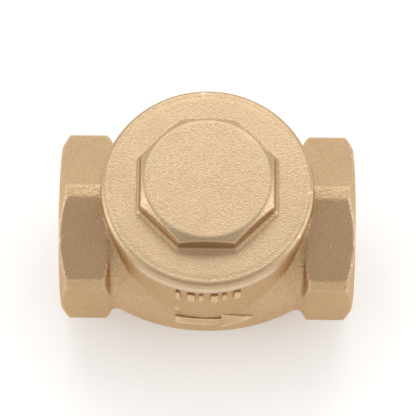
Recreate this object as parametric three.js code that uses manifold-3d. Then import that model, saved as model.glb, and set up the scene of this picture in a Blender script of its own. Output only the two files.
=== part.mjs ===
// Horizontal swing check valve in brass: a cast body with two hexagonal female ends, a screwed
// octagonal cap, and a rubber-faced clapper that hangs from a pin above the seat.
// Millimetres. +X is the flow direction (outlet), +Z is the cap side, and z = 0 is the plane of the
// two bottom corner flats that the valve stands on.
import * as THREE from 'three';
import { mergeVertices } from 'three/addons/utils/BufferGeometryUtils.js';
import Module from 'manifold-3d';

const wasm = await Module();
wasm.setup();

// ---- driving dimensions -------------------------------------------------------------------------
const faceToFace = 56;
const hexAcrossFlats = 32;
const cornerFlatWidth = 2.5; // the cast hexagon's corners are flattened
const hexLength = 9.4;
const endRingRadius = 15.7; // flat ring left round the socket mouth
const endChamferSlope = Math.tan(THREE.MathUtils.degToRad(32));
const innerChamferRadius = 16.5;
const neckRadius = 15.8;
const belly = { x: 27.5, y: 20.4, z: 17 };

const socketRadius = 12.06; // crests of the G 3/4 female thread
const socketMouthRadius = 13.5;
const socketDepth = 11.4;
const undercutRadius = 13.35;
const undercutWidth = 1.6;

const capThreadRadius = 15;
const threadClearance = 0.1;
const capSeatZ = 15.5; // machined top face of the tower, above the flow axis
const capBoreDepth = 5.1;
const towerRadius = 19.6;
const towerFlareRadius = 20.1;
const facingRelief = 20.2;
const chamberRadius = 13.9;
const cavity = { x: 15, y: 16.8, z: 13.6 };

const gasketThickness = 0.8;
const gasketInnerRadius = 15.3;
const gasketOuterRadius = 18.9;
const flangeRadius = 20;
const flangeTopZ = 20.4;
const flangeRim = 0.9;
const capSkirtLength = 4.6;
const capSkirtBore = 12;
const capHollowZ = 16.4;
const octagonAcrossFlats = 25.4;
const octagonTopZ = 24.2;
const octagonDraft = 0.25; // how much narrower each flat is at the top
const octagonChamferRadius = 11.9;
const octagonChamferSlope = Math.tan(THREE.MathUtils.degToRad(35));

const seat = { x: -9, z: -2.3, boreRadius: 7.6, landRadius: 8.25, height: 0.8 };
const pin = { x: -6.4, z: 8.9, radius: 1.25, bore: 1.3, from: -14.6, to: 14.2 };
const boss = { radius: 2.6, inner: 6 };
const plug = { radius: 3, from: 14.5, headRadius: 4.2, headHeight: 2.2 };
const plugSpotRadius = 5.4;
const plugSeatY = 17.6; // spot-faced ledge on the back of the tower
const plugWasherThickness = 0.6;

const facing = { radius: 8.4, thickness: 1.6, hole: 2.2 };
const disc = { radius: 8.9, plate: 2, rim: 0.8, studRadius: 2.6, studLength: 7.6 };
const facingPlate = { radius: 5, thickness: 0.8 };
const screw = { headRadius: 3.3, headHeight: 1.4, radius: 1.9, length: 4.4, slot: 0.9 };
const arm = { thickness: 2.4, width: 5, eyeRadius: 4.6, eyeHole: 2.9, hubRadius: 2.05, hubHalf: 5.6 };
const armGap = 0.3; // play between the disc's back and the arm's eye
const washer = { radius: 4.4, thickness: 0.8, hole: 2.75 };
const nut = { acrossFlats: 8, thickness: 2.6, hole: 2.65 };
const splitPin = { radius: 0.42, hole: 0.55, leg: 4.4, eye: 0.9, eyeAt: 3.9 };

const fine = 64; // facets round the large turned surfaces
const medium = 32;
const small = 20;

const half = faceToFace / 2;
const hexCornerRadius = hexAcrossFlats / 2 / Math.cos(Math.PI / 6);
const cornerCut = cornerFlatWidth / 2 / Math.tan(Math.PI / 3);
const axisHeight = hexCornerRadius - cornerCut; // flow axis above the resting plane
const flangeBottomZ = capSeatZ + gasketThickness;
const facingX = seat.x;
const discFrontX = facingX + facing.thickness;
const discBackX = discFrontX + disc.plate;
const eyeX = discBackX + armGap;
const washerX = eyeX + arm.thickness;
const nutX = washerX + washer.thickness;
const studEndX = discBackX + disc.studLength;
const splitPinX = (nutX + nut.thickness + studEndX) / 2;

// ---- colours ------------------------------------------------------------------------------------
function paint(colour, roughness, metalness) {
  return new THREE.MeshStandardMaterial({ color: colour, roughness, metalness });
}
const castBrass = paint(0xc9a57c, 0.62, 0.85);
const turnedBrass = paint(0xd3b27c, 0.32, 1);
const nitrileRubber = paint(0x1c1c1e, 0.75, 0);
const fibreBoard = paint(0x7d4a3a, 0.85, 0);
const copper = paint(0xb87350, 0.4, 1);

// ---- geometry helpers ---------------------------------------------------------------------------
function signedVolume(vertices, triangles) {
  let six = 0;
  for (let i = 0; i < triangles.length; i += 3) {
    const [a, b, c] = [0, 1, 2].map((k) => new THREE.Vector3().fromArray(vertices, 3 * triangles[i + k]));
    six += a.dot(b.cross(c));
  }
  return six / 6;
}

// A closed three.js geometry as a manifold solid, with its faces turned outwards.
function solid(geometry) {
  const bare = geometry.clone();
  bare.deleteAttribute('normal');
  bare.deleteAttribute('uv');
  const merged = mergeVertices(bare, 1e-4);
  const vertices = merged.attributes.position.array;
  const index = merged.index.array;
  const triangles = [];
  for (let i = 0; i < index.length; i += 3) {
    const [a, b, c] = [index[i], index[i + 1], index[i + 2]];
    if (a !== b && b !== c && c !== a) {
      triangles.push(a, b, c);
    }
  }
  if (signedVolume(vertices, triangles) < 0) {
    triangles.reverse();
  }
  const data = {
    numProp: 3,
    vertProperties: new Float32Array(vertices),
    triVerts: new Uint32Array(triangles),
  };
  return new wasm.Manifold(new wasm.Mesh(data));
}

function geometryOf(shape) {
  const mesh = shape.getMesh();
  const geometry = new THREE.BufferGeometry();
  geometry.setAttribute('position', new THREE.BufferAttribute(new Float32Array(mesh.vertProperties), 3));
  geometry.setIndex(new THREE.BufferAttribute(new Uint32Array(mesh.triVerts), 1));
  geometry.computeVertexNormals();
  return geometry;
}

const alongX = new THREE.Matrix4().makeBasis(
  new THREE.Vector3(0, 1, 0), new THREE.Vector3(0, 0, 1), new THREE.Vector3(1, 0, 0));
const alongY = new THREE.Matrix4().makeRotationX(-Math.PI / 2);

// A turned shape about +Z. The profile is a list of [radius, height] pairs.
function turned(profile, sides) {
  const points = profile.map(([radius, height]) => new THREE.Vector2(radius, height));
  return new THREE.LatheGeometry(points, sides).rotateX(Math.PI / 2);
}

function rod(radius, from, to, sides) {
  return turned([[0, from], [radius, from], [radius, to], [0, to]], sides);
}

function ring(inner, outer, from, to, sides) {
  return turned([[inner, from], [outer, from], [outer, to], [inner, to], [inner, from]], sides);
}

function onAxisX(geometry, y, z) {
  return geometry.applyMatrix4(alongX).translate(0, y, z);
}

function onAxisY(geometry, x, z) {
  return geometry.applyMatrix4(alongY).translate(x, 0, z);
}

function block(xRange, yRange, zRange) {
  const size = [xRange, yRange, zRange].map(([low, high]) => high - low);
  const middle = [xRange, yRange, zRange].map(([low, high]) => (low + high) / 2);
  return new THREE.BoxGeometry(...size).translate(...middle);
}

// A prism along +Z from a closed outline of [x, y] pairs.
function prism(outline, from, to) {
  const shape = new THREE.Shape(outline.map(([x, y]) => new THREE.Vector2(x, y)));
  return new THREE.ExtrudeGeometry(shape, { depth: to - from, bevelEnabled: false }).translate(0, 0, from);
}

// The corners of a regular polygon, the first of them at the angle turn.
function polygon(sides, acrossFlats, turn) {
  const radius = acrossFlats / 2 / Math.cos(Math.PI / sides);
  return Array.from({ length: sides }, (_, k) => {
    const angle = turn + (2 * Math.PI * k) / sides;
    return [radius * Math.cos(angle), radius * Math.sin(angle)];
  });
}

function union(shapes) {
  return shapes.reduce((sum, shape) => sum.add(shape));
}

// ---- body ---------------------------------------------------------------------------------------
// The wrench hexagon has a corner at top and bottom, each corner flattened.
function hexOutline() {
  const depth = hexCornerRadius - cornerCut;
  const side = cornerFlatWidth / 2;
  const outline = [];
  for (let k = 0; k < 6; k += 1) {
    const angle = Math.PI / 6 + (k * Math.PI) / 3;
    const [c, s] = [Math.cos(angle), Math.sin(angle)];
    outline.push([depth * c + side * s, depth * s - side * c]);
    outline.push([depth * c - side * s, depth * s + side * c]);
  }
  return outline;
}

function hexEnd(direction) {
  const inner = half - hexLength;
  const rim = hexCornerRadius + 1;
  const chamfered = turned([
    [0, inner], [innerChamferRadius, inner], [rim, inner + (rim - innerChamferRadius) * 0.7],
    [rim, half - (rim - endRingRadius) * endChamferSlope], [endRingRadius, half], [0, half],
  ], fine);
  const hexagon = solid(prism(hexOutline(), inner - 1, half + 1).applyMatrix4(alongX));
  const end = hexagon.intersect(solid(onAxisX(chamfered, 0, 0)));
  return direction > 0 ? end : end.rotate([0, 0, 180]);
}

function socket(direction) {
  const deep = half - socketDepth;
  const mouth = socketMouthRadius - socketRadius;
  const cut = turned([
    [0, deep], [undercutRadius, deep], [undercutRadius, deep + undercutWidth],
    [socketRadius, deep + undercutWidth + 1], [socketRadius, half - mouth],
    [socketMouthRadius, half], [socketMouthRadius, half + 1], [0, half + 1],
  ], medium);
  const shape = solid(onAxisX(cut, 0, 0));
  return direction > 0 ? shape : shape.rotate([0, 0, 180]);
}

function outerCasting() {
  const ball = new THREE.SphereGeometry(1, 56, 28).rotateX(Math.PI / 2);
  const barrel = solid(ball.scale(belly.x, belly.y, belly.z));
  const middle = solid(block([-21, 21], [-30, 30], [-30, 30]));
  const neck = solid(onAxisX(rod(neckRadius, -half + 4, half - 4, fine), 0, 0));
  const tower = solid(turned([
    [0, 0], [towerFlareRadius, 0], [towerFlareRadius, 4], [towerRadius, 11],
    [towerRadius, capSeatZ], [0, capSeatZ],
  ], fine));
  const relief = solid(rod(facingRelief, capSeatZ, capSeatZ + 12, fine));
  const trimmedTower = tower.intersect(solid(block([-25, 25], [-belly.y, belly.y], [0, 30])));
  return union([barrel.intersect(middle), neck, trimmedTower, hexEnd(1), hexEnd(-1)]).subtract(relief);
}

// The clapper chamber stops at the partition that carries the seat.
function chamber() {
  const ball = new THREE.SphereGeometry(1, 40, 20).rotateX(Math.PI / 2);
  const hollow = ball.scale(cavity.x, cavity.y, cavity.z);
  const well = solid(rod(chamberRadius, 0, capSeatZ + 1, fine));
  const outletSide = solid(block([seat.x - seat.height, 30], [-30, 30], [-30, 30]));
  return solid(hollow).add(well).intersect(outletSide);
}

function pinBosses() {
  const round = solid(onAxisY(rod(boss.radius, -16, 16, small), pin.x, pin.z));
  const web = solid(block([seat.x - 2, pin.x], [-16, 16], [pin.z - boss.radius, pin.z + 1]));
  const gap = solid(block([-30, 30], [-boss.inner, boss.inner], [-30, 30]));
  return round.add(web).subtract(gap);
}

function valveBody() {
  const deep = half - socketDepth;
  const capBore = solid(rod(capThreadRadius, capSeatZ - capBoreDepth, capSeatZ + 1, fine));
  const land = solid(onAxisX(rod(seat.landRadius, seat.x - 2, seat.x, medium), 0, seat.z));
  const port = solid(onAxisX(turned([
    [0, -deep - 0.1], [9.6, -deep - 0.1], [seat.boreRadius, seat.x - 2.4],
    [seat.boreRadius, seat.x + 1], [0, seat.x + 1],
  ], medium), 0, seat.z));
  const outlet = solid(onAxisX(rod(11, 6, deep + 0.1, medium), 0, 0));
  const pinBore = solid(onAxisY(rod(pin.bore, pin.from - 0.2, 25, small), pin.x, pin.z));
  const plugHole = rod(plug.radius + threadClearance, plug.from - 0.1, 25, small);
  const plugBore = solid(onAxisY(plugHole, pin.x, pin.z));
  const spotFace = solid(onAxisY(rod(plugSpotRadius, plugSeatY, 25, medium), pin.x, pin.z));
  return outerCasting()
    .subtract(chamber())
    .add(land)
    .add(pinBosses())
    .subtract(capBore)
    .subtract(port)
    .subtract(outlet)
    .subtract(socket(1))
    .subtract(socket(-1))
    .subtract(pinBore)
    .subtract(plugBore)
    .subtract(spotFace);
}

// ---- cap ----------------------------------------------------------------------------------------
function cap() {
  const skirtRadius = capThreadRadius - threadClearance;
  const skirtEnd = capSeatZ - capSkirtLength;
  const rimSteps = 4;
  const rim = Array.from({ length: rimSteps + 1 }, (_, k) => {
    const angle = (k / rimSteps) * (Math.PI / 2);
    const inset = flangeRim * (1 - Math.cos(angle));
    return [flangeRadius - inset, flangeTopZ - flangeRim * (1 - Math.sin(angle))];
  });
  const plate = solid(turned([
    [0, capHollowZ], [capSkirtBore, capHollowZ], [capSkirtBore, skirtEnd],
    [skirtRadius - 0.8, skirtEnd], [skirtRadius, skirtEnd + 0.8], [skirtRadius, flangeBottomZ],
    [flangeRadius - 0.3, flangeBottomZ], [flangeRadius, flangeBottomZ + 0.3], ...rim, [0, flangeTopZ],
  ], fine));
  const flats = polygon(8, octagonAcrossFlats, Math.PI / 8);
  const octagon = new THREE.ExtrudeGeometry(
    new THREE.Shape(flats.map(([x, y]) => new THREE.Vector2(x, y))),
    { depth: octagonTopZ - flangeTopZ + 1, bevelEnabled: false }).translate(0, 0, flangeTopZ - 1);
  const position = octagon.attributes.position;
  for (let i = 0; i < position.count; i += 1) {
    if (position.getZ(i) > flangeTopZ) {
      const shrink = 1 - (2 * octagonDraft) / octagonAcrossFlats;
      position.setX(i, position.getX(i) * shrink);
      position.setY(i, position.getY(i) * shrink);
    }
  }
  const wide = octagonAcrossFlats;
  const topChamfer = solid(turned([
    [0, flangeTopZ - 2], [wide, flangeTopZ - 2],
    [wide, octagonTopZ - (wide - octagonChamferRadius) * octagonChamferSlope],
    [octagonChamferRadius, octagonTopZ], [0, octagonTopZ],
  ], fine));
  return plate.add(solid(octagon).intersect(topChamfer));
}

function capGasket() {
  return solid(ring(gasketInnerRadius, gasketOuterRadius, capSeatZ, flangeBottomZ, fine));
}

// ---- hinge --------------------------------------------------------------------------------------
function hingePin() {
  return solid(onAxisY(rod(pin.radius, pin.from, pin.to, small), pin.x, pin.z));
}

function pinPlug() {
  const headFrom = plugSeatY + plugWasherThickness;
  const headTo = headFrom + plug.headHeight;
  const shank = solid(rod(plug.radius, plug.from, headFrom + 0.5, small));
  const head = solid(prism(polygon(6, plug.headRadius * 2, Math.PI / 6), headFrom, headTo));
  const crown = solid(turned([
    [0, headFrom - 1], [6, headFrom - 1], [6, headTo - 0.8], [plug.headRadius, headTo], [0, headTo],
  ], medium));
  const plugShape = shank.add(head.intersect(crown));
  return solid(onAxisY(geometryOf(plugShape), pin.x, pin.z));
}

function plugWasher() {
  const inner = plug.radius + threadClearance;
  const body = ring(inner, plug.headRadius, plugSeatY, plugSeatY + plugWasherThickness, small);
  return solid(onAxisY(body, pin.x, pin.z));
}

// ---- clapper ------------------------------------------------------------------------------------
function clapperArm() {
  const eye = solid(onAxisX(rod(arm.eyeRadius, eyeX, eyeX + arm.thickness, medium), 0, seat.z));
  const hub = solid(onAxisY(rod(arm.hubRadius, -arm.hubHalf, arm.hubHalf, small), pin.x, pin.z));
  const web = new THREE.Shape([
    [eyeX, seat.z], [eyeX + arm.thickness, seat.z], [eyeX + arm.thickness, pin.z - 3.6],
    [pin.x + 1.6, pin.z + 1], [pin.x, pin.z], [eyeX, pin.z - 2],
  ].map(([x, z]) => new THREE.Vector2(x, z)));
  const blade = new THREE.ExtrudeGeometry(web, { depth: arm.width, bevelEnabled: false })
    .rotateX(Math.PI / 2)
    .translate(0, arm.width / 2, 0);
  const eyeHole = solid(onAxisX(rod(arm.eyeHole, eyeX - 1, eyeX + arm.thickness + 1, small), 0, seat.z));
  const pinHole = solid(onAxisY(rod(pin.bore, -10, 10, small), pin.x, pin.z));
  return union([eye, hub, solid(blade)]).subtract(eyeHole).subtract(pinHole);
}

function clapperDisc() {
  const threadedHole = screw.radius + threadClearance;
  const body = solid(onAxisX(turned([
    [0, discFrontX], [facing.radius + 0.05, discFrontX], [facing.radius + 0.05, discFrontX - disc.rim],
    [disc.radius, discFrontX - disc.rim], [disc.radius, discBackX - 0.5], [disc.radius - 0.5, discBackX],
    [disc.studRadius, discBackX], [disc.studRadius, studEndX - 0.4], [disc.studRadius - 0.4, studEndX],
    [0, studEndX],
  ], medium), 0, seat.z));
  const holeEnd = discFrontX + screw.length - 1.2;
  const screwHole = solid(onAxisX(rod(threadedHole, discFrontX - 2, holeEnd, small), 0, seat.z));
  const crossHole = solid(onAxisY(rod(splitPin.hole, -4, 4, 12), splitPinX, seat.z));
  return body.subtract(screwHole).subtract(crossHole);
}

function discFacing() {
  return solid(onAxisX(ring(facing.hole, facing.radius, facingX, discFrontX, medium), 0, seat.z));
}

function facingWasher() {
  const front = facingX - facingPlate.thickness;
  return solid(onAxisX(ring(facing.hole, facingPlate.radius, front, facingX, medium), 0, seat.z));
}

function facingScrew() {
  const underHead = facingX - facingPlate.thickness;
  const headFront = underHead - screw.headHeight;
  const shape = solid(onAxisX(turned([
    [0, headFront], [screw.headRadius - 0.3, headFront], [screw.headRadius, headFront + 0.3],
    [screw.headRadius, underHead], [screw.radius, underHead],
    [screw.radius, underHead + screw.length], [0, underHead + screw.length],
  ], small), 0, seat.z));
  const halfSlot = screw.slot / 2;
  const slot = block([headFront - 1, headFront + 0.8], [-5, 5], [seat.z - halfSlot, seat.z + halfSlot]);
  return shape.subtract(solid(slot));
}

function discWasher() {
  return solid(onAxisX(ring(washer.hole, washer.radius, washerX, nutX, small), 0, seat.z));
}

function discNut() {
  const hexagon = solid(prism(polygon(6, nut.acrossFlats, 0), nutX, nutX + nut.thickness));
  const corner = nut.acrossFlats / 2;
  const crown = solid(turned([
    [0, nutX - 1], [8, nutX - 1], [8, nutX + nut.thickness - 1.6],
    [corner, nutX + nut.thickness], [0, nutX + nut.thickness],
  ], small));
  const hole = solid(rod(nut.hole, nutX - 1, nutX + nut.thickness + 1, small));
  return solid(onAxisX(geometryOf(hexagon.intersect(crown).subtract(hole)), 0, seat.z));
}

// The split pin's ring stands on one side of the stud and its legs on the other.
function discSplitPin() {
  const shankEnd = splitPin.eyeAt - splitPin.eye;
  const shank = solid(onAxisY(rod(splitPin.radius, -splitPin.leg, shankEnd, 12), splitPinX, seat.z));
  const circle = Array.from({ length: 9 }, (_, k) => {
    const angle = (2 * Math.PI * k) / 8;
    return [splitPin.eye + 0.35 * Math.cos(angle), 0.35 * Math.sin(angle)];
  });
  const eye = solid(onAxisX(turned(circle, 16), splitPin.eyeAt, seat.z).translate(splitPinX, 0, 0));
  return shank.add(eye);
}

// ---- assembly -----------------------------------------------------------------------------------
const valve = new THREE.Group();

function addPart(name, shape, material) {
  const mesh = new THREE.Mesh(geometryOf(shape), material);
  mesh.name = name;
  valve.add(mesh);
}

addPart('valve_body', valveBody(), castBrass);
addPart('cap', cap(), castBrass);
addPart('cap_gasket', capGasket(), fibreBoard);
addPart('hinge_pin', hingePin(), turnedBrass);
addPart('pin_plug', pinPlug(), turnedBrass);
addPart('pin_plug_washer', plugWasher(), copper);
addPart('clapper_arm', clapperArm(), castBrass);
addPart('clapper_disc', clapperDisc(), turnedBrass);
addPart('disc_facing', discFacing(), nitrileRubber);
addPart('facing_washer', facingWasher(), turnedBrass);
addPart('facing_screw', facingScrew(), turnedBrass);
addPart('disc_washer', discWasher(), turnedBrass);
addPart('disc_nut', discNut(), turnedBrass);
addPart('disc_split_pin', discSplitPin(), turnedBrass);
valve.position.z = axisHeight;

export default valve;
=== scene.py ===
import math
import bpy
from mathutils import Matrix, Vector


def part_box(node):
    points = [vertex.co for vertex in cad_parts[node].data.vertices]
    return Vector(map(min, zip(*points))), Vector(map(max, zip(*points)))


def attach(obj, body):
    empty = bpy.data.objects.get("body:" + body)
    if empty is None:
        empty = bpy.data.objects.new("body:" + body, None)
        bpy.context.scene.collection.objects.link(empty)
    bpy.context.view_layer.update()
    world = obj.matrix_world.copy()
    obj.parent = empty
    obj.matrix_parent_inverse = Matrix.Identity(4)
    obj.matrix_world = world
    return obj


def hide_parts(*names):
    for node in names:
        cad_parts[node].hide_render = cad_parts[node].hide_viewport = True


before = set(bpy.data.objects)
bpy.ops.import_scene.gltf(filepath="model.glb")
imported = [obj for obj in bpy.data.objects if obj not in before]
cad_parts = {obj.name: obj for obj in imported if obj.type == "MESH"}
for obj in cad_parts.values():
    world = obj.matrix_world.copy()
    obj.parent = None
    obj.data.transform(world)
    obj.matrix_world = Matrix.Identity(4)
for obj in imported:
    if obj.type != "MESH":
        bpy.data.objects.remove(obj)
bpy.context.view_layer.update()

mm = 0.001


def span(node, way):  # where a CAD node starts and ends along an axis, in mm
    low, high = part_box(node)
    return getattr(low, way) / mm, getattr(high, way) / mm


def middleOf(node, way):
    return sum(span(node, way)) / 2


# where the CAD puts things; everything else is measured from these
halfLength = span("valve_body", "x")[1]
hexHalf = 16.0
cornerFlat = 2.5
hexCorner = hexHalf / math.cos(math.pi / 6)
clear = 26.0  # a reach that clears the tower and the cap on every side
axisZ = hexCorner - cornerFlat / 2 / math.tan(math.pi / 3)  # the flow axis above the bench
seatX, seatZ = span("disc_facing", "x")[0], middleOf("disc_facing", "z")
pinX, pinZ = middleOf("hinge_pin", "x"), middleOf("hinge_pin", "z")
splitX = middleOf("disc_split_pin", "x")
flowAxis = (0, 0, axisZ)
seatAxis = (0, 0, seatZ)
pinAxis = (pinX, 0, pinZ)


def say(text):
    print("stage:", text)


def activate(piece):
    if bpy.context.object and bpy.context.object.mode != "OBJECT":
        bpy.ops.object.mode_set(mode="OBJECT")
    bpy.ops.object.select_all(action="DESELECT")
    piece.select_set(True)
    bpy.context.view_layer.objects.active = piece
    return piece


def named(name):
    piece = bpy.context.object
    piece.name = name
    piece.data.name = name
    return piece


def settle(piece):  # origin to the frame's, with the place kept in the mesh
    activate(piece)
    bpy.ops.object.transform_apply(location=True, rotation=True, scale=True)
    return piece


def applyAll(piece):
    activate(piece)
    for modifier in list(piece.modifiers):
        bpy.ops.object.modifier_apply(modifier=modifier.name)
    return piece


def cut(piece, tool, operation="DIFFERENCE"):  # the new faces keep the tool's own material
    modifier = piece.modifiers.new("cut", "BOOLEAN")
    modifier.operation = operation
    modifier.solver = "MANIFOLD"
    modifier.material_mode = "TRANSFER"
    modifier.object = tool
    applyAll(piece)
    bpy.data.objects.remove(tool)
    return piece


def bevelEdges(piece, width):
    modifier = piece.modifiers.new("soft edges", "BEVEL")
    modifier.width = width * mm
    modifier.segments = 2
    modifier.limit_method = "ANGLE"
    modifier.angle_limit = math.radians(25)
    return applyAll(piece)


def smoothShade(piece, angle):
    activate(piece)
    bpy.ops.object.shade_smooth_by_angle(angle=math.radians(angle))
    return piece


def fuse(pieces, name):
    activate(pieces[0])
    for piece in pieces[1:]:
        piece.select_set(True)
    bpy.ops.object.join()
    return named(name)


def remesh(piece, voxel):
    modifier = piece.modifiers.new("skin", "REMESH")
    modifier.mode = "VOXEL"
    modifier.voxel_size = voxel * mm
    modifier.use_smooth_shade = True
    return applyAll(piece)


def soften(piece, rounds, group=""):
    modifier = piece.modifiers.new("soften", "SMOOTH")
    modifier.factor = 0.5
    modifier.iterations = rounds
    modifier.vertex_group = group  # an empty name means the whole piece
    return applyAll(piece)


def weigh(piece, name, weightAt):  # a vertex group from a rule on place
    group = piece.vertex_groups.new(name=name)
    for vertex in piece.data.vertices:
        weight = weightAt(vertex.co / mm)
        if weight > 0.01:
            group.add([vertex.index], weight, "REPLACE")
    return name


directions = {  # along the axis, and the way out from it
    "X": (Vector((1, 0, 0)), Vector((0, 0, 1))),
    "Y": (Vector((0, 1, 0)), Vector((0, 0, 1))),
    "Z": (Vector((0, 0, 1)), Vector((1, 0, 0))),
}


# A line drawn point by point, from a plane merged to one vertex. It leaves the piece in edit mode.
def drawLine(name, spots):
    bpy.ops.object.select_all(action="DESELECT")
    bpy.ops.mesh.primitive_plane_add(size=mm, location=(0, 0, 0))
    piece = named(name)
    bpy.ops.object.mode_set(mode="EDIT")
    bpy.ops.mesh.select_mode(type="VERT")
    bpy.ops.mesh.select_all(action="SELECT")
    bpy.ops.mesh.merge(type="CENTER")
    bpy.ops.transform.translate(value=spots[0])
    for before, after in zip(spots, spots[1:]):
        bpy.ops.mesh.extrude_vertices_move(TRANSFORM_OT_translate={"value": after - before})
    bpy.ops.mesh.select_all(action="SELECT")
    return piece


# A turned shape: a profile of (radius, height) spun about an axis.
def turn(name, profile, axis, centre, steps):
    along, out = directions[axis]
    centre = Vector(centre) * mm
    spots = [centre + out * radius * mm + along * height * mm for radius, height in profile]
    piece = drawLine(name, spots)
    bpy.ops.mesh.spin(steps=steps, angle=2 * math.pi, center=centre, axis=along)
    bpy.ops.mesh.select_all(action="SELECT")
    bpy.ops.mesh.remove_doubles(threshold=0.0005 * mm)
    bpy.ops.mesh.dissolve_degenerate(threshold=0.0001 * mm)
    bpy.ops.mesh.normals_make_consistent(inside=False)
    bpy.ops.object.mode_set(mode="OBJECT")
    return piece


def ringProfile(inner, outer, low, high, soft):  # a square section with its four corners taken off
    return [(inner, low + soft), (inner + soft, low), (outer - soft, low), (outer, low + soft),
            (outer, high - soft), (outer - soft, high), (inner + soft, high), (inner, high - soft),
            (inner, low + soft)]


def block(name, low, high):
    low, high = Vector(low) * mm, Vector(high) * mm
    bpy.ops.object.select_all(action="DESELECT")
    bpy.ops.mesh.primitive_cube_add(size=1, location=(low + high) / 2, scale=high - low)
    return settle(named(name))


def prism(name, sides, radius, low, high, axis, centre, turnBy=0.0):
    along = directions[axis][0]
    place = (Vector(centre) + along * (low + high) / 2) * mm
    bpy.ops.object.select_all(action="DESELECT")
    bpy.ops.mesh.primitive_cylinder_add(vertices=sides, radius=radius * mm, depth=(high - low) * mm,
                                        location=place)
    piece = named(name)
    spin = {"X": Matrix.Rotation(math.pi / 2, 4, "Y"), "Y": Matrix.Rotation(-math.pi / 2, 4, "X"),
            "Z": Matrix.Identity(4)}[axis]
    piece.matrix_world = Matrix.Translation(place) @ Matrix.Rotation(turnBy, 4, axis) @ spin
    return settle(piece)


# An outline filled and pushed out into a solid.
def pushOut(name, spots, push):
    piece = drawLine(name, [Vector(spot) * mm for spot in spots])
    bpy.ops.mesh.edge_face_add()
    bpy.ops.mesh.extrude_region_move(TRANSFORM_OT_translate={"value": (0, push * mm, 0)})
    bpy.ops.mesh.select_all(action="SELECT")
    bpy.ops.mesh.normals_make_consistent(inside=False)
    bpy.ops.object.mode_set(mode="OBJECT")
    return piece


# A screw-shaped core, right-handed: the male form, also used as the tool that cuts the female one.
def threadedCore(name, minor, major, pitch, low, high, axis, centre, steps):
    along, out = directions[axis]
    flat, top = 0.08, 0.42  # half-width of the flats, and where the flank ends, in pitches
    profile = []
    for number in range(math.floor(low / pitch) - 2, math.ceil(high / pitch) + 2):
        base = number * pitch
        profile += [(minor, base - flat * pitch), (minor, base + flat * pitch),
                    (major, base + top * pitch), (major, base + (1 - top) * pitch)]
    spots = [out * radius * mm + along * height * mm for radius, height in profile]
    piece = drawLine(name, spots)
    bpy.ops.object.mode_set(mode="OBJECT")
    screw = piece.modifiers.new("helix", "SCREW")
    screw.axis = axis
    screw.angle = 2 * math.pi
    screw.screw_offset = pitch * mm
    screw.steps = steps
    screw.render_steps = steps
    screw.use_merge_vertices = True
    screw.merge_threshold = 0.001 * mm
    applyAll(piece)
    bpy.ops.object.mode_set(mode="EDIT")
    bpy.ops.mesh.select_all(action="SELECT")
    bpy.ops.mesh.remove_doubles(threshold=0.002 * mm)
    bpy.ops.mesh.fill_holes(sides=0)
    for height, direction in ((low, -1), (high, 1)):
        bpy.ops.mesh.select_all(action="SELECT")
        bpy.ops.mesh.bisect(plane_co=along * height * mm, plane_no=along * direction,
                            use_fill=True, clear_outer=True, threshold=0.0005 * mm)
    bpy.ops.mesh.select_all(action="SELECT")
    bpy.ops.mesh.normals_make_consistent(inside=False)
    bpy.ops.object.mode_set(mode="OBJECT")
    piece.location = Vector(centre) * mm
    return settle(piece)


# a long lens high in front of the valve
camera = {"distance": 540.3, "elevation": 67.3, "azimuth": 0.1, "roll": 0.45, "aim": (0.15, 3.85),
          "lens": 240.8, "sensor": 36.0}


def placeCamera(v):
    elevation, azimuth, roll = (math.radians(v[key]) for key in ("elevation", "azimuth", "roll"))
    back = Vector((math.sin(azimuth) * math.cos(elevation), -math.cos(azimuth) * math.cos(elevation),
                   math.sin(elevation)))
    level = Vector((math.cos(azimuth), math.sin(azimuth), 0))
    upright = back.cross(level)
    right = math.cos(roll) * level + math.sin(roll) * upright
    up = math.cos(roll) * upright - math.sin(roll) * level
    place = (Vector(flowAxis) + right * v["aim"][0] + up * v["aim"][1] + back * v["distance"]) * mm
    bpy.ops.object.camera_add(location=place)
    item = bpy.context.object
    item.name = "view"
    item.rotation_euler = Matrix((right, up, back)).transposed().to_euler()
    item.data.sensor_width = v["sensor"]
    item.data.lens = v["lens"]
    item.data.clip_start = 0.01
    bpy.context.scene.camera = item


studio = {
    "world": 0.8,
    "hush": 0.3, "hushTint": (1.0, 0.94, 0.88),  # the tent's dim, warm opening
    "hushFrom": (0.0, -0.62, 0.78), "hushSpan": (0.5, 0.97),
    "table": 0.24, "paper": (0.9, 0.9, 0.9, 1), "paperRough": 0.9,  # a light table with its own glow
    "panels": [  # name, place (m), size (m), power (W)
        ("overhead", (0.0, 0.43, 0.52), 0.5, 1.15),
        ("left", (-0.62, -0.02, 0.26), 0.4, 0.95),
        ("right", (0.62, -0.02, 0.26), 0.4, 0.95),
    ],
}


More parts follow.
